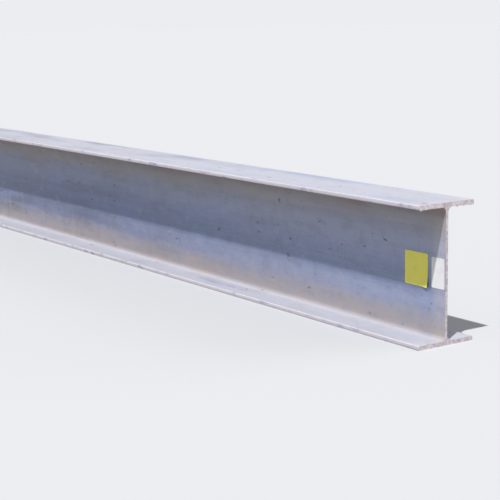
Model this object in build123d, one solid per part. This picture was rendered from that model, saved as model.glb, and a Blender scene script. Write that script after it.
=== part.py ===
from build123d import *
import os

# A hot-rolled structural steel H-beam of the narrow-flange series, one length of bar stock.
# It is rolled from a single bloom, so the web, both flanges and the root fillets are one solid.
# The beam lies on its lower flange with the web upright. X runs along the bar, Y across the
# flanges and Z up. The origin is on the underside of the lower flange, at the middle of the
# length and on the plane of the web.

# Driving dimensions of the rolled section, in millimetres
section_depth = 350.0       # outer face to outer face of the flanges
flange_width = 175.0
web_thickness = 7.0
flange_thickness = 11.0     # the same from root to toe, because the flanges are parallel
root_radius = 13.0          # fillet that the rolls leave where the web runs into a flange
toe_radius = 2.0            # rounding of the four long edges of each flange

# Stock length between the two sawn ends, in millimetres
stock_length = 6000.0


def corners_between(outline, inner, outer):
    """The corners of an outline whose distance from the web's middle plane lies in a range."""
    return [corner for corner in outline.vertices() if inner < abs(corner.X) < outer]


def plain_outline():
    """The H as three plates that meet in sharp corners, centred on the origin."""
    flange_offset = (section_depth - flange_thickness) / 2
    web = Rectangle(web_thickness, section_depth - flange_thickness)
    flange = Rectangle(flange_width, flange_thickness)
    return web + Pos(0, flange_offset) * flange + Pos(0, -flange_offset) * flange


def rolled_outline():
    """The H as it leaves the rolls, with filleted roots and rounded toes."""
    outline = plain_outline()
    half_way_out = (web_thickness + flange_width) / 4
    roots = corners_between(outline, 0, half_way_out)
    outline = fillet(roots, root_radius)
    toes = corners_between(outline, flange_width / 2 - toe_radius, flange_width)
    return fillet(toes, toe_radius)


def rolled_bar():
    """The rolled section carried along the bar and cut square at both ends."""
    section_plane = Plane.YZ.offset(-stock_length / 2)
    section = section_plane * Pos(0, section_depth / 2) * rolled_outline()
    return extrude(section, amount=stock_length, dir=(1, 0, 0))


h_beam = rolled_bar()
h_beam.label = "h_beam"

os.makedirs("parts", exist_ok=True)
export_step(h_beam, "parts/h_beam.step")
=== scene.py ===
import math
import random

import bmesh
import bpy
from mathutils import Matrix, Vector, noise


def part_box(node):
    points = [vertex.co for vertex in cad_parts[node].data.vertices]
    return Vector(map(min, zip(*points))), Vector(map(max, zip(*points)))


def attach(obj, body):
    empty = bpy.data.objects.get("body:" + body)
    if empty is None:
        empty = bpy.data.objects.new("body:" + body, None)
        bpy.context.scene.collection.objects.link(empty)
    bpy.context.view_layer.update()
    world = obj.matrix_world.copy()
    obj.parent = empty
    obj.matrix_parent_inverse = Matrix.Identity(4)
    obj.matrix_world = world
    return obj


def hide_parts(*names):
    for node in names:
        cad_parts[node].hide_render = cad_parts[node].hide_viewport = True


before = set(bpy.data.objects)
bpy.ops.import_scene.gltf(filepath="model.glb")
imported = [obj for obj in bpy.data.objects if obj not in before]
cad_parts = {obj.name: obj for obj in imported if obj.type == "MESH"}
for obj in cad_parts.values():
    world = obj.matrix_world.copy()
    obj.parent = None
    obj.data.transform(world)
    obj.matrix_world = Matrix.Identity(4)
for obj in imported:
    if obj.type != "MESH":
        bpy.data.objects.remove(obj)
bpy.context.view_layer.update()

# One length of hot-rolled steel H-beam, lying on its lower flange. Metres, X along the bar, Z up.

halfLength, halfWidth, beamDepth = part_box("h_beam")[1]    # the far corner of its box
midHeight = beamDepth / 2
millimetre = 0.001
touching = 0.01 * millimetre    # nearer than this, two points are one
roundCorner = {"affect": "VERTICES", "profile": 0.5, "material": -1}

bpy.context.scene.view_settings.view_transform = "Standard"


def linearColour(hexText):    # sRGB hex, as an eye reads it, to the linear numbers that shaders take
    channels = [int(hexText[start:start + 2], 16) / 255 for start in (1, 3, 5)]
    return [c / 12.92 if c <= 0.04045 else ((c + 0.055) / 1.055) ** 2.4 for c in channels] + [1.0]


def enabledSocket(sockets, name=None):    # a node's first socket in use, or the one of that name
    return next(s for s in sockets if s.enabled and name in (None, s.name))


def setInputs(node, inputs):    # values, nodes or their outputs into a node's inputs, by name or number
    for name, value in inputs.items():
        socket = node.inputs[name] if isinstance(name, int) else enabledSocket(node.inputs, name)
        if isinstance(value, bpy.types.Node):
            value = enabledSocket(value.outputs)
        if isinstance(value, bpy.types.NodeSocket):
            node.id_data.links.new(value, socket)
        else:
            socket.default_value = value


def addNode(tree, kind, inputs=None, **settings):
    node = tree.nodes.new("ShaderNode" + kind)
    for name, value in settings.items():
        setattr(node, name, value)
    setInputs(node, inputs or {})
    return node


def newMaterial(name):    # the material, its node tree and its shader
    material = bpy.data.materials.new(name)
    material.use_nodes = True
    return material, material.node_tree, material.node_tree.nodes["Principled BSDF"]


def newPiece(name, bm, materials):    # the bmesh as an object at the origin
    mesh = bpy.data.meshes.new(name)
    bm.to_mesh(mesh)
    bm.free()
    for material in materials:
        mesh.materials.append(material)
    piece = bpy.data.objects.new(name, mesh)
    bpy.context.scene.collection.objects.link(piece)
    return piece


def vertsIn(geometry):    # the vertices among what an operator gives back
    return [part for part in geometry if isinstance(part, bmesh.types.BMVert)]


def divideEdges(bm, longest):    # cuts each edge evenly, so that no part of it is longer
    for edge in bm.edges[:]:
        cuts = int(edge.calc_length() / longest)
        if cuts:
            bmesh.ops.subdivide_edges(bm, edges=[edge], cuts=cuts)


def unevenness(place, fractal):    # mostly between 0 and 1, and never below
    dimension, lacunarity, octaves = fractal
    return max(0, 0.5 + 0.5 * noise.fractal(place, dimension, lacunarity, octaves))


# The rolled section

beam = {
    "webThickness": 0.007,
    "flangeThickness": 0.011,
    "rootRadius": 0.013,
    "toeRadius": 0.002,
    "rootSteps": 6,
    "toeSteps": 3,
    "rowHeight": 0.013,         # the widest strip that the flats are cut into
    "barStep": 0.035,           # the usual length of a face along the bar
    "endSteps": (0.0008, 0.002, 0.005, 0.012),    # shorter ones next to each sawn end
    "leastStep": 0.00072,
    "webRipple": 0.0005,        # how far the web wanders off its plane
    "rippleLength": 0.55,       # of one wave along the bar
    "rippleHeight": 0.2,        # and up the web
    "rippleSeed": 3.1,
    "heldStraight": 0.06,       # how far down the web a flange steadies it
    "toeWander": 0.0007,        # how uneven the rolled edges are
    "wanderLength": 0.16,
    "wanderSeeds": (5, 9),      # for the side and for the flange, so that no two edges are alike
    "wanderFractal": (0.6, 2.1, 3),    # dimension, lacunarity, octaves
    "edgeReach": 0.006,         # how far in from its edge a flange is uneven
    "nicks": 44,                # knocks on the flange edges from handling
    "nickLength": (0.008, 0.034),
    "nickDepth": (0.0007, 0.0022),
    "nickCuts": (-0.5, -0.25, 0, 0.25, 0.5),    # where the bar is cut across for one, in its lengths
    "seed": 11,
}

webFace = beam["webThickness"] / 2
innerFace = midHeight - beam["flangeThickness"]    # of either flange, from the beam's axis


def sectionOutline(bm):    # the H at x = 0 round the beam's axis, one closed loop of edges
    corners = [(webFace, 0), (webFace, innerFace)]    # up the web to a root
    corners += [(halfWidth, innerFace), (halfWidth, midHeight), (0, midHeight)]    # and round half a flange
    verts = [bm.verts.new((0, y, z)) for y, z in corners]
    for pair in zip(verts, verts[1:]):
        bm.edges.new(pair)
    root, *toes = verts[1:4]
    bmesh.ops.bevel(bm, geom=[root], offset=beam["rootRadius"], segments=beam["rootSteps"], **roundCorner)
    bmesh.ops.bevel(bm, geom=toes, offset=beam["toeRadius"], segments=beam["toeSteps"], **roundCorner)
    divideEdges(bm, beam["rowHeight"])
    for axis in "YZ":
        bmesh.ops.mirror(bm, geom=bm.verts[:] + bm.edges[:], axis=axis, merge_dist=touching)


def handlingNicks():
    rng = random.Random(beam["seed"])
    nicks = []
    for _ in range(beam["nicks"]):
        nicks.append({
            "x": rng.uniform(-halfLength, halfLength),
            "side": rng.choice((-1, 1)),
            "top": rng.choice((-1, 1)),
            "length": rng.uniform(*beam["nickLength"]),
            "depth": rng.uniform(*beam["nickDepth"]),
        })
    return nicks


def barStations(nicks):    # where the bar is cut across: evenly, closer at its ends and round each nick
    count = round(2 * halfLength / beam["barStep"])
    stations = [-halfLength + 2 * halfLength * index / count for index in range(count + 1)]
    for step in beam["endSteps"]:
        stations += [halfLength - step, step - halfLength]
    for nick in nicks:
        stations += [nick["x"] + nick["length"] * share for share in beam["nickCuts"]]
    kept = [-halfLength]
    for station in sorted(stations):
        if station - kept[-1] > beam["leastStep"] and station <= halfLength:
            kept.append(station)
    return kept


def stretchAlong(bm, stations):    # one extrusion, divided evenly and then moved to the stations
    length = stations[-1] - stations[0]
    bmesh.ops.translate(bm, verts=bm.verts[:], vec=(stations[0], 0, 0))
    moved = vertsIn(bmesh.ops.extrude_edge_only(bm, edges=bm.edges[:])["geom"])
    bmesh.ops.translate(bm, verts=moved, vec=(length, 0, 0))
    lengthwise = [edge for edge in bm.edges if edge.calc_length() > length / 2]
    bmesh.ops.subdivide_edges(bm, edges=lengthwise, cuts=len(stations) - 2, use_grid_fill=True)
    for vert in bm.verts:
        share = (vert.co.x - stations[0]) / length
        vert.co.x = stations[round(share * (len(stations) - 1))]


def rippleWeb(vert):    # off its plane, to one side or the other
    x, y, z = vert.co
    free = min(1, (innerFace - abs(z)) / beam["heldStraight"])
    place = Vector((x / beam["rippleLength"], z / beam["rippleHeight"], beam["rippleSeed"]))
    vert.co.y = y + beam["webRipple"] * free * noise.noise(place)


def wearEdge(vert, nicks):    # only inwards, so that the flange is never wider than rolled
    x, y, z = vert.co
    side = math.copysign(1, y)
    top = math.copysign(1, z)
    sideSeed, topSeed = beam["wanderSeeds"]
    place = Vector((x / beam["wanderLength"], side * sideSeed, top * topSeed))
    push = beam["toeWander"] * unevenness(place, beam["wanderFractal"])
    for nick in nicks:
        reach = 1 - abs(x - nick["x"]) / (nick["length"] / 2)
        if reach > 0 and nick["side"] == side and nick["top"] == top:
            push += nick["depth"] * reach
    outermost = 1 - (halfWidth - abs(y)) / beam["edgeReach"]    # 1 on the edge itself
    vert.co.y = y - side * push * outermost


def buildBeam(skin, cut):
    bm = bmesh.new()
    nicks = handlingNicks()
    sectionOutline(bm)
    stretchAlong(bm, barStations(nicks))
    caps = bmesh.ops.holes_fill(bm, edges=[edge for edge in bm.edges if edge.is_boundary])["faces"]
    for vert in bm.verts:
        if abs(vert.co.y) < webFace + beam["rootRadius"] and abs(vert.co.z) < innerFace:
            rippleWeb(vert)
        elif abs(vert.co.y) > halfWidth - beam["edgeReach"]:
            wearEdge(vert, nicks)
    bmesh.ops.translate(bm, verts=bm.verts[:], vec=(0, 0, midHeight))
    bmesh.ops.recalc_face_normals(bm, faces=bm.faces[:])
    for face in bm.faces:
        face.smooth = True
    for cap in caps:
        cap.material_index = 1
        cap.smooth = False
        for edge in cap.edges:
            edge.smooth = False
    return newPiece("rolledBeam", bm, [skin, cut])


# The burr of the saw

burr = {
    "height": 0.0035,           # how far the longest tatters stand off the flanges
    "onWeb": 0.2,               # the share of that on the web, which the blade leaves cleaner
    "rooted": 0.0008,           # how deep its foot lies in the steel
    "covered": 0.0003,          # how deep its tips lie where nothing stands off
    "thickness": 0.0005,
    "step": 0.0016,             # the most between one tip and the next
    "setBack": 0.0002,          # behind the plane of the cut
    "tatter": 0.016,            # length of one tatter round the section
    "gap": 0.09,                # length of the stretches with more or less of it
    "fractal": (0.9, 2.2, 3),
    "seed": 7.3,
}


def tearTips(bm, tips, end):    # the tips off the steel, unevenly, and the foot into it
    rootY = webFace + beam["rootRadius"]
    rootZ = innerFace - beam["rootRadius"]
    for vert in bm.verts:
        y, z = vert.co.yz
        offWeb = max(0, rootY - abs(y))
        offFlange = max(0, abs(z) - rootZ)
        away = Vector((0, math.copysign(offWeb, y), -math.copysign(offFlange, z))).normalized()
        place = Vector((y / burr["tatter"], z / burr["tatter"], end * burr["seed"]))
        torn = noise.fractal(place, *burr["fractal"]) + noise.noise(place * burr["tatter"] / burr["gap"])
        most = burr["height"] * (burr["onWeb"] + (1 - burr["onWeb"]) * offFlange / beam["rootRadius"])
        rise = most * min(1, max(0, torn)) - burr["covered"]
        vert.co += away * (rise if vert in tips else -burr["rooted"])


def addLip(bm, end):    # one end's, from the H without the outer faces and toes of its flanges
    lip = bmesh.new()
    sectionOutline(lip)
    outside = [vert for vert in lip.verts if abs(vert.co.z) > innerFace + touching]
    bmesh.ops.delete(lip, geom=outside, context="VERTS")
    divideEdges(lip, burr["step"])
    tips = vertsIn(bmesh.ops.extrude_edge_only(lip, edges=lip.edges[:])["geom"])
    tearTips(lip, set(tips), end)
    back = vertsIn(bmesh.ops.extrude_face_region(lip, geom=lip.faces[:])["geom"])
    bmesh.ops.translate(lip, verts=back, vec=(burr["thickness"], 0, 0))
    bmesh.ops.recalc_face_normals(lip, faces=lip.faces[:])
    place = halfLength - burr["setBack"] - (burr["thickness"] if end > 0 else 0)
    bmesh.ops.translate(lip, verts=lip.verts[:], vec=(end * place, 0, midHeight))
    carrier = bpy.data.meshes.new("lip")
    lip.to_mesh(carrier)
    lip.free()
    bm.from_mesh(carrier)
    bpy.data.meshes.remove(carrier)


def buildBurr(cut):    # the thin torn lip that stands off the inner edges of each cut
    bm = bmesh.new()
    for end in (-1, 1):
        addLip(bm, end)
    return newPiece("sawBurr", bm, [cut])


# Hot-rolled steel in its mill scale: a hard blue-grey oxide skin with a satin sheen, drawn into streaks by
# the rolls, and then chipped, dusted and stained with rust by its months outdoors.
millScale = {
    "colours": {
        "slate": "#656D88",     # thick scale
        "blue": "#8792B6",      # thin scale
        "deep": "#4E6896",      # painted shade: a darker, bluer belt up the web from the key light's shadow edge
        "violet": "#898CA6",    # where the bar cooled slowly
        "bright": "#A9B3D3",    # the thinnest, where the ends cooled first
        "pale": "#B4BDCF",      # painted light: the web lighter over its last metres towards the sawn end
        "pit": "#403E49",       # dark crusts
        "stain": "#B3A69C",     # rust carried by water, low on the web
        "grime": "#AAA296",     # the same, darker, where rain doesn't reach
        "rust": "#8F6049",      # rust grown in place
        "freckle": "#96603F",
        "chip": "#6D564E",
        "dust": "#ABABB3",
        "tide": "#99938F",      # rims left by puddles
        "worn": "#D4CED4",      # bare steel in scratches and a strip beside the cut; also laid along the flange toes to make them paler
    },
    "patterns": {               # millimetres along the bar and across it, then octaves
        "patch": (430, 90, 5),
        "hue": (1500, 330, 2),
        "mottle": (60, 34, 4),
        "streak": (900, 7, 3),
        "line": (1900, 22, 2),
        "run": (28, 420, 4),
        "flake": (46, 22, 9),
        "fleck": (15, 9, 6),
        "freckle": (5, 4, 2),
        "speck": (9, 6, 2),
        "grain": (2.2, 1.6, 2),
        "puddle": (150, 60, 5),
        "scratch": (260, 1.3, 2),
        "reach": (480, 50, 6),
    },
    "patternRoughness": 0.6,    # how much the finer octaves count
    "masks": {                  # what each reads, and the values, in metres for a place, where it is 0 and 1
        "thin": ("patch", 0.36, 0.64),
        "slowCooled": ("hue", 0.46, 0.66),
        "fastCooled": ("hue", 0.5, 0.4),
        "darkSpots": ("mottle", 0.48, 0.68),
        "paleSpots": ("mottle", 0.46, 0.3),
        "darkGrain": ("grain", 0.48, 0.68),
        "paleGrain": ("grain", 0.46, 0.3),
        "streaks": ("streak", 0.5, 0.75),
        "lines": ("line", 0.54, 0.7),
        "runs": ("run", 0.56, 0.74),
        "chips": ("flake", 0.65, 0.68),
        "unscaled": ("flake", 0.74, 0.52),
        "flecks": ("fleck", 0.66, 0.69),
        "freckles": ("freckle", 0.62, 0.72),
        "specks": ("speck", 0.7, 0.78),
        "scratches": ("scratch", 0.68, 0.74),
        "wetInside": ("puddle", 0.5, 0.56),
        "wetOutside": ("puddle", 0.62, 0.57),
        "rustGrowth": ("reach", 0.5, 0.7),
        "dusty": ("patch", 0.14, 0.45),
        "rinsed": ("patch", 0.24, 0.56),
        "facingUp": ("facing", 0.5, 0.9),
        "onWeb": ("fromWeb", 0.02, 0.005),
        # the painted shade belt: its top, and its foot at the key light's shadow edge on the web
        "beltTop": ("height", 0.24, 0.135),
        "beltFoot": ("height", 0.105, 0.135),
        "upper": ("height", midHeight - 0.01, midHeight + 0.01),
        "lower": ("height", midHeight + 0.01, midHeight - 0.01),
        "inside": ("fromFlange", -0.002, 0.0),
        "outside": ("fromFlange", 0.0, -0.002),
        "nearRoot": ("fromRoot", 0.085, 0.02),
        "inRoot": ("fromRoot", 0.035, 0.0),
        "dripReach": ("fromRoot", 0.15, 0.04),
        "drips": ("run", 0.42, 0.66),
        "softened": ("mottle", 0.75, 0.3),
        # where the painted light near the sawn end reaches, fading out 1.9 m in
        "nearEnd": ("fromEnd", 1.9, 0.2),
        "besideCut": ("fromEnd", 0.06, 0.02),
        "edge": ("across", halfWidth - 0.0025, halfWidth),
    },
    "coats": [                  # colour, where it lies, its strength, and how much it dulls the sheen
        ("violet", ("slowCooled",), 0.5, 0.0),
        # painted light: lightens the web towards the sawn end
        ("bright", ("nearEnd",), 0.62, 0.0),
        # painted shade: darkens the web in a belt just above the key light's shadow edge
        ("deep", ("beltTop", "beltFoot"), 0.4, 0.0),
        ("worn", ("besideCut",), 0.4, 0.0),
        ("pale", ("streaks",), 0.14, 0.2),
        ("slate", ("darkSpots",), 0.25, 0.0),
        ("pale", ("paleSpots",), 0.16, 0.0),
        ("slate", ("lines",), 0.16, 0.0),
        ("slate", ("darkGrain",), 0.3, 0.0),
        ("pale", ("paleGrain",), 0.2, 0.1),
        ("grime", ("runs", "onWeb", "fastCooled"), 0.25, 0.5),
        ("stain", ("nearRoot", "onWeb", "lower"), 0.5, 0.7),
        ("stain", ("nearRoot", "softened", "onWeb", "lower"), 0.45, 0.7),
        ("stain", ("dripReach", "drips", "onWeb", "lower"), 0.12, 0.5),
        ("grime", ("nearRoot", "inside", "upper"), 0.4, 0.7),
        ("grime", ("nearRoot", "softened", "inside", "upper"), 0.35, 0.7),
        ("grime", ("dripReach", "onWeb", "upper"), 0.3, 0.4),
        ("rust", ("nearRoot", "rustGrowth", "inside", "upper"), 0.5, 1.0),
        ("rust", ("inRoot", "inside", "upper"), 0.45, 1.0),
        ("dust", ("facingUp", "inside", "dusty"), 0.85, 0.9),
        ("dust", ("facingUp", "outside", "rinsed"), 0.8, 0.9),
        ("tide", ("facingUp", "wetInside", "wetOutside"), 0.22, 1.0),
        ("freckle", ("freckles", "rustGrowth"), 0.5, 1.0),
        ("chip", ("flecks",), 0.4, 0.8),
        ("chip", ("chips",), 0.6, 1.0),
        ("pit", ("specks",), 0.5, 0.3),
        ("worn", ("scratches", "slowCooled"), 0.25, 0.2),
        # the flange toes made pale nearly all along
        ("worn", ("edge", "unscaled"), 0.9, 0.3),
        ("freckle", ("edge", "freckles"), 0.35, 0.6),
    ],
    "relief": {                 # millimetres that each stands out of the surface
        "grain": 0.15,
        "fleck": 0.1,
        "streak": 0.15,
        "chips": -0.15,
        "scratches": -0.05,
    },
    "sheen": (0.25, 0.0),       # how metallic, clean and dulled
    "roughness": (0.36, 0.5, 0.9),    # thick scale, thin scale, dulled
    "stainStray": 0.07,         # metres between the least and the furthest that stains reach
    "toeBandStray": 0.002,         # the same for the pale band along the toes
}


def millScaleReadings(tree):    # by name, all that the coats and the relief ask about a point of the steel
    coordinates = addNode(tree, "TexCoord")
    position = coordinates.outputs["Object"]
    read = {}
    for name, (along, across, octaves) in millScale["patterns"].items():
        perMetre = [1 / (length * millimetre) for length in (along, across, across)]
        stretched = addNode(tree, "Mapping", {"Vector": position, "Scale": perMetre})
        read[name] = addNode(tree, "TexNoise", {
            "Vector": stretched, "Scale": 1.0, "Detail": octaves, "Roughness": millScale["patternRoughness"]})

    split = addNode(tree, "SeparateXYZ", {"Vector": position})
    normal = addNode(tree, "SeparateXYZ", {"Vector": coordinates.outputs["Normal"]})
    read["facing"] = normal.outputs["Z"]
    read["height"] = split.outputs["Z"]
    along = addNode(tree, "Math", {0: split.outputs["X"]}, operation="ABSOLUTE")
    read["fromEnd"] = addNode(tree, "Math", {0: halfLength, 1: along}, operation="SUBTRACT")
    aside = addNode(tree, "Math", {0: split.outputs["Y"]}, operation="ABSOLUTE")
    read["fromWeb"] = addNode(tree, "Math", {0: aside, 1: webFace}, operation="SUBTRACT")
    above = addNode(tree, "Math", {0: read["height"], 1: midHeight}, operation="SUBTRACT")
    away = addNode(tree, "Math", {0: above}, operation="ABSOLUTE")
    read["fromFlange"] = addNode(tree, "Math", {0: innerFace, 1: away}, operation="SUBTRACT")
    corner = addNode(tree, "CombineXYZ", {"X": read["fromWeb"], "Y": read["fromFlange"]})
    straight = addNode(tree, "VectorMath", {0: corner}, operation="LENGTH").outputs["Value"]
    least, most = -millScale["stainStray"] / 2, millScale["stainStray"] / 2
    stray = addNode(tree, "MapRange", {"Value": read["reach"], "To Min": least, "To Max": most})
    read["fromRoot"] = addNode(tree, "Math", {0: straight, 1: stray}, operation="ADD")
    read["across"] = addNode(tree, "Math", {
        0: read["speck"], 1: millScale["toeBandStray"], 2: aside}, operation="MULTIPLY_ADD")

    for name, (source, low, high) in millScale["masks"].items():
        read[name] = addNode(tree, "MapRange", {
            "Value": read[source], "From Min": low, "From Max": high}, interpolation_type="SMOOTHSTEP")
    return read


def millScaleMaterial():
    material, tree, shader = newMaterial("millScaleOnHotRolledSteel")
    read = millScaleReadings(tree)
    paint = {name: linearColour(hexText) for name, hexText in millScale["colours"].items()}
    colour = addNode(tree, "Mix", {
        "Factor": read["thin"], "A": paint["slate"], "B": paint["blue"]}, data_type="RGBA")
    dulled = 0.0
    for name, places, strength, dulling in millScale["coats"]:
        share = strength
        for place in places:
            share = addNode(tree, "Math", {0: read[place], 1: share}, operation="MULTIPLY")
        colour = addNode(tree, "Mix", {"Factor": share, "A": colour, "B": paint[name]}, data_type="RGBA")
        dulls = addNode(tree, "Math", {0: share, 1: dulling}, operation="MULTIPLY")
        dulled = addNode(tree, "Math", {0: dulls, 1: dulled}, operation="MAXIMUM")

    clean, dull = millScale["sheen"]
    thick, thin, matt = millScale["roughness"]
    sheen = addNode(tree, "MapRange", {"Value": dulled, "To Min": clean, "To Max": dull})
    scale = addNode(tree, "MapRange", {"Value": read["thin"], "To Min": thick, "To Max": thin})
    rough = addNode(tree, "Mix", {"Factor": dulled, "A": scale, "B": matt}, data_type="FLOAT")
    relief = 0.0
    for name, rise in millScale["relief"].items():
        relief = addNode(tree, "Math", {0: read[name], 1: rise, 2: relief}, operation="MULTIPLY_ADD")
    bump = addNode(tree, "Bump", {"Height": relief, "Distance": millimetre, "Strength": 1.0})
    setInputs(shader, {"Base Color": colour, "Metallic": sheen, "Roughness": rough, "Normal": bump})
    return material


# Low-carbon steel straight off a circular saw: bare, pinkish grey and torn, crossed by faint arcs of the
# blade, with a first bloom of rust.
sawnSteel = {
    "bare": "#E0D6DB",
    "smear": "#A99FA7",
    "bloom": "#B4988C",
    "arcSpacing": 0.0022,       # drawn coarser than the real millimetre, so that it shows
    "arcWaver": {"Distortion": 4.0, "Detail": 3.0, "Detail Scale": 0.3},
    "arcStrength": (0.12, 0.45),    # on clean metal and on smears
    "arcHeight": 3.0,           # against the tears
    "tearHeight": 0.0002,
    "bladeCentre": (-0.62, -0.45),    # across the section and up
    "smearSize": 0.009,
    "smeared": {"From Min": 0.4, "From Max": 0.7, "To Max": 0.8},
    "bloomSize": 0.03,
    "rusted": {"From Min": 0.5, "From Max": 0.7, "To Max": 0.45},
    "sheen": {"To Min": 0.6, "To Max": 0.1},    # how metallic, bare and under full rust
    "roughness": {"To Min": 0.45, "To Max": 0.8},
}


def sawnSteelMaterial():
    material, tree, shader = newMaterial("sawnSteel")
    paint = {name: linearColour(sawnSteel[name]) for name in ("bare", "smear", "bloom")}
    position = addNode(tree, "TexCoord").outputs["Object"]
    torn = addNode(tree, "TexNoise", {
        "Vector": position, "Scale": 1 / sawnSteel["smearSize"], "Detail": 4.0})
    blotch = addNode(tree, "TexNoise", {
        "Vector": position, "Scale": 1 / sawnSteel["bloomSize"], "Detail": 5.0})
    smear = addNode(tree, "MapRange", {"Value": torn, **sawnSteel["smeared"]})
    bloom = addNode(tree, "MapRange", {"Value": blotch, **sawnSteel["rusted"]})

    centreY, centreZ = sawnSteel["bladeCentre"]
    moved = addNode(tree, "Mapping", {"Vector": position, "Location": (0, -centreY, -centreZ)})
    perMetre = math.pi / 10 / sawnSteel["arcSpacing"]    # the wave's rings lie pi / 10 apart at a scale of 1
    rings = addNode(tree, "TexWave", {
        "Vector": moved, "Scale": perMetre, **sawnSteel["arcWaver"]}, wave_type="RINGS", rings_direction="X")
    faint, clear = sawnSteel["arcStrength"]
    strength = addNode(tree, "MapRange", {"Value": smear, "To Min": faint, "To Max": clear})
    arcs = addNode(tree, "Math", {0: rings.outputs["Fac"], 1: strength}, operation="MULTIPLY")

    colour = addNode(tree, "Mix", {
        "Factor": smear, "A": paint["bare"], "B": paint["smear"]}, data_type="RGBA")
    colour = addNode(tree, "Mix", {"Factor": arcs, "A": colour, "B": paint["smear"]}, data_type="RGBA")
    colour = addNode(tree, "Mix", {"Factor": bloom, "A": colour, "B": paint["bloom"]}, data_type="RGBA")
    sheen = addNode(tree, "MapRange", {"Value": bloom, **sawnSteel["sheen"]})
    rough = addNode(tree, "MapRange", {"Value": bloom, **sawnSteel["roughness"]})
    relief = addNode(tree, "Math", {0: arcs, 1: sawnSteel["arcHeight"], 2: torn}, operation="MULTIPLY_ADD")
    bump = addNode(tree, "Bump", {"Height": relief, "Distance": sawnSteel["tearHeight"], "Strength": 1.0})
    setInputs(shader, {"Base Color": colour, "Metallic": sheen, "Roughness": rough, "Normal": bump})
    return material


# Two blank paper stickers, on the web's face beside the sawn end

stickers = {
    "thickness": 0.00025,
    "lift": 0.0001,             # off the web's exact plane, so that its ripple stays behind them
    "corner": 0.0035,
    "cornerSteps": 4,
    "looseFrom": 0.5,           # where it starts to curl, of the way from its middle to the loose corner
    "wrinkle": 0.0005,          # how high the wrinkles stand
    "wrinkles": (1.3, 1.9),     # in half its width and half its height
    "wrinkleFractal": (0.7, 2.0, 3),
    "step": 0.003,              # width of the strips that it is cut into
    "sharpAngle": 1.0,          # radians between two faces, past which their edge shows
    "white": {"size": (0.046, 0.076), "fromEnd": 0.003, "looseCorner": (1, 1), "curl": 0.0012, "seed": 4.14},
    "yellow": {"size": (0.084, 0.084), "fromEnd": 0.062, "looseCorner": (1, -1), "curl": 0.004, "seed": 7.56},
}


def cutIntoStrips(bm, axis, length):
    strips = round(length / stickers["step"])
    for index in range(1, strips):
        everything = bm.verts[:] + bm.edges[:] + bm.faces[:]
        place = axis * length * (index / strips - 0.5)
        bmesh.ops.bisect_plane(bm, geom=everything, plane_co=place, plane_no=axis)


def buildSticker(name, material):    # made lying face up, and then stood against the web
    own = stickers[name]
    wide, high = own["size"]
    flat = Matrix.Diagonal((wide, high, 1, 1))
    bm = bmesh.new()
    bmesh.ops.create_grid(bm, x_segments=1, y_segments=1, size=0.5, matrix=flat)
    bmesh.ops.bevel(bm, geom=bm.verts[:], offset=stickers["corner"], segments=stickers["cornerSteps"],
                    **roundCorner)
    cutIntoStrips(bm, Vector((1, 0, 0)), wide)
    cutIntoStrips(bm, Vector((0, 1, 0)), high)

    cornerX, cornerY = own["looseCorner"]
    wrinklesX, wrinklesY = stickers["wrinkles"]
    for vert in bm.verts:
        x = vert.co.x / (wide / 2)
        y = vert.co.y / (high / 2)
        towards = (x * cornerX + y * cornerY) / 2    # 1 at the loose corner
        peeled = max(0, towards - stickers["looseFrom"]) / (1 - stickers["looseFrom"])
        wrinkled = unevenness(Vector((x * wrinklesX, y * wrinklesY, own["seed"])), stickers["wrinkleFractal"])
        vert.co.z = own["curl"] * peeled ** 2 + stickers["wrinkle"] * wrinkled
    bmesh.ops.recalc_face_normals(bm, faces=bm.faces[:])
    bmesh.ops.solidify(bm, geom=bm.faces[:], thickness=stickers["thickness"])

    centre = Vector((halfLength - own["fromEnd"] - wide / 2, -webFace - stickers["lift"], midHeight))
    bmesh.ops.rotate(bm, verts=bm.verts[:], matrix=Matrix.Rotation(math.radians(90), 3, "X"))
    bmesh.ops.translate(bm, verts=bm.verts[:], vec=centre)
    bmesh.ops.recalc_face_normals(bm, faces=bm.faces[:])
    for face in bm.faces:
        face.smooth = True
    for edge in bm.edges:
        if edge.calc_face_angle(0) > stickers["sharpAngle"]:
            edge.smooth = False
    return newPiece(name + "Sticker", bm, [material])


# Coated label paper: flat and bright with a slight sheen, greyed where dust has stuck
labelPaper = {
    "white": ("#F3F2F5", "#CFCBCC"),    # clean, dusty
    "yellow": ("#FFF86A", "#E3D967"),
    "dustSize": 0.022,
    "dusted": {"From Min": 0.5, "From Max": 0.9, "To Max": 0.5},
    "roughness": {"To Min": 0.4, "To Max": 0.7},    # clean, dusty
    "fibreSize": 0.0012,
    "fibreHeight": 0.00005,
}


def labelPaperMaterial(name):
    material, tree, shader = newMaterial(name + "LabelPaper")
    clean, dusty = (linearColour(hexText) for hexText in labelPaper[name])
    position = addNode(tree, "TexCoord").outputs["Object"]
    dust = addNode(tree, "TexNoise", {
        "Vector": position, "Scale": 1 / labelPaper["dustSize"], "Detail": 5.0})
    fibre = addNode(tree, "TexNoise", {
        "Vector": position, "Scale": 1 / labelPaper["fibreSize"], "Detail": 2.0})
    share = addNode(tree, "MapRange", {"Value": dust, **labelPaper["dusted"]})
    colour = addNode(tree, "Mix", {"Factor": share, "A": clean, "B": dusty}, data_type="RGBA")
    rough = addNode(tree, "MapRange", {"Value": share, **labelPaper["roughness"]})
    bump = addNode(tree, "Bump", {"Height": fibre, "Distance": labelPaper["fibreHeight"], "Strength": 1.0})
    setInputs(shader, {"Base Color": colour, "Roughness": rough, "Normal": bump})
    return material


# Camera, light and floor

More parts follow.
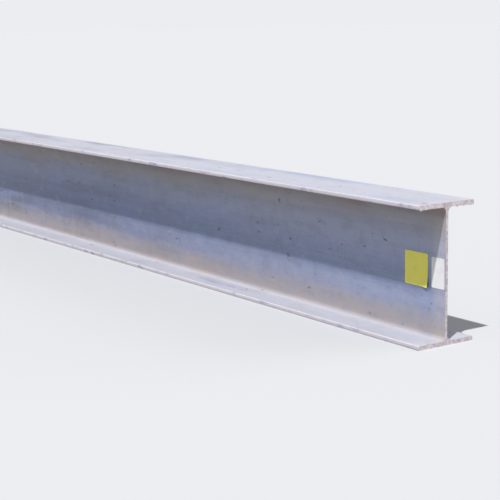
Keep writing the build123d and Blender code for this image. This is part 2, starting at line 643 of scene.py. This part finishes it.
camera = {
    "place": (5.301, -2.154, 0.809),
    "heading": 42.58,           # degrees, how far the view is turned from +Y towards -X
    "tilt": -1.3,
    "roll": -0.34,
    "frame": 500,               # pixels on a side
    "focal": 576,               # focal length in those pixels
    "aim": (118, 343),          # pixel that comes to the middle of the picture
    "closer": 2.3,              # how much longer the lens is
    "sensor": 36,
    "clips": (0.05, 200),
}
light = {
    "key": {"towards": (0.222, -0.359, 0.906), "strength": 4.1, "softness": 1.2},    # degrees across
    "fill": {"towards": (0.35, 0.8, 0.45), "strength": 0.8, "softness": 40},
    "surround": "#A4A4A4",      # what the world adds from all round
    "backdrop": "#EBEDF0",      # what it looks like, straight or in a reflection
}
floor = {
    "radius": 60,
    "segments": 96,
    "beside": "#909194",        # what the beam gets back from it
    "seen": "#BCBDC0",          # what the camera and reflections see, paler
}


def addCamera():
    lens = bpy.data.cameras.new("camera")
    lens.sensor_width = camera["sensor"]
    lens.lens = camera["focal"] * camera["closer"] / camera["frame"] * camera["sensor"]
    lens.clip_start, lens.clip_end = camera["clips"]
    turned = Matrix.Identity(3)
    for degrees, axis in ((camera["heading"], "Z"), (camera["tilt"], "X"), (camera["roll"], "Y"), (90, "X")):
        turned = turned @ Matrix.Rotation(math.radians(degrees), 3, axis)
    across, down = (pixel - camera["frame"] / 2 for pixel in camera["aim"])
    aimed = Vector((0, 0, -1)).rotation_difference(Vector((across, -down, -camera["focal"])))
    holder = bpy.data.objects.new("camera", lens)
    holder.matrix_world = Matrix.Translation(camera["place"]) @ (turned @ aimed.to_matrix()).to_4x4()
    bpy.context.scene.collection.objects.link(holder)
    bpy.context.scene.camera = holder


def addLights():
    for name in ("key", "fill"):
        lamp = bpy.data.objects.new(name + "Light", bpy.data.lights.new(name + "Light", "SUN"))
        lamp.data.energy = light[name]["strength"]
        lamp.data.angle = math.radians(light[name]["softness"])
        lamp.rotation_euler = Vector(light[name]["towards"]).to_track_quat("Z", "Y").to_euler()
        bpy.context.scene.collection.objects.link(lamp)


def addWorld():
    world = bpy.data.worlds.new("studio")
    world.use_nodes = True
    bpy.context.scene.world = world
    tree = world.node_tree
    rays = addNode(tree, "LightPath")
    seen = 0.0
    for kind in ("Is Camera Ray", "Is Glossy Ray", "Is Transmission Ray"):
        seen = addNode(tree, "Math", {0: rays.outputs[kind], 1: seen}, operation="MAXIMUM")
    surround, backdrop = linearColour(light["surround"]), linearColour(light["backdrop"])
    colour = addNode(tree, "Mix", {"Factor": seen, "A": surround, "B": backdrop}, data_type="RGBA")
    setInputs(tree.nodes["Background"], {"Color": colour})


# Matt paper: no shine, so that it looks the same from every side
def floorMaterial():
    material, tree, shader = newMaterial("mattStudioPaper")
    rays = addNode(tree, "LightPath")
    sight = {0: rays.outputs["Is Camera Ray"], 1: rays.outputs["Is Glossy Ray"]}
    seen = addNode(tree, "Math", sight, operation="MAXIMUM")
    darker, paler = linearColour(floor["beside"]), linearColour(floor["seen"])
    colour = addNode(tree, "Mix", {"Factor": seen, "A": darker, "B": paler}, data_type="RGBA")
    setInputs(shader, {"Base Color": colour, "Roughness": 1.0, "Specular IOR Level": 0.0})
    return material


def addFloor():
    bm = bmesh.new()
    bmesh.ops.create_circle(bm, cap_ends=True, segments=floor["segments"], radius=floor["radius"])
    material = floorMaterial()
    newPiece("floor", bm, [material])


cutSteel = sawnSteelMaterial()
rolledBeam = buildBeam(millScaleMaterial(), cutSteel)
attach(rolledBeam, "root")
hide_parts("h_beam")
print("beam:", len(rolledBeam.data.polygons), "faces")

sawBurr = buildBurr(cutSteel)
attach(sawBurr, "root")
print("burr:", len(sawBurr.data.polygons), "faces")

for name in ("white", "yellow"):
    sticker = buildSticker(name, labelPaperMaterial(name))
    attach(sticker, "root")
    print(name, "sticker:", len(sticker.data.polygons), "faces")

addCamera()
addLights()
addWorld()
addFloor()
print("camera, light and floor")
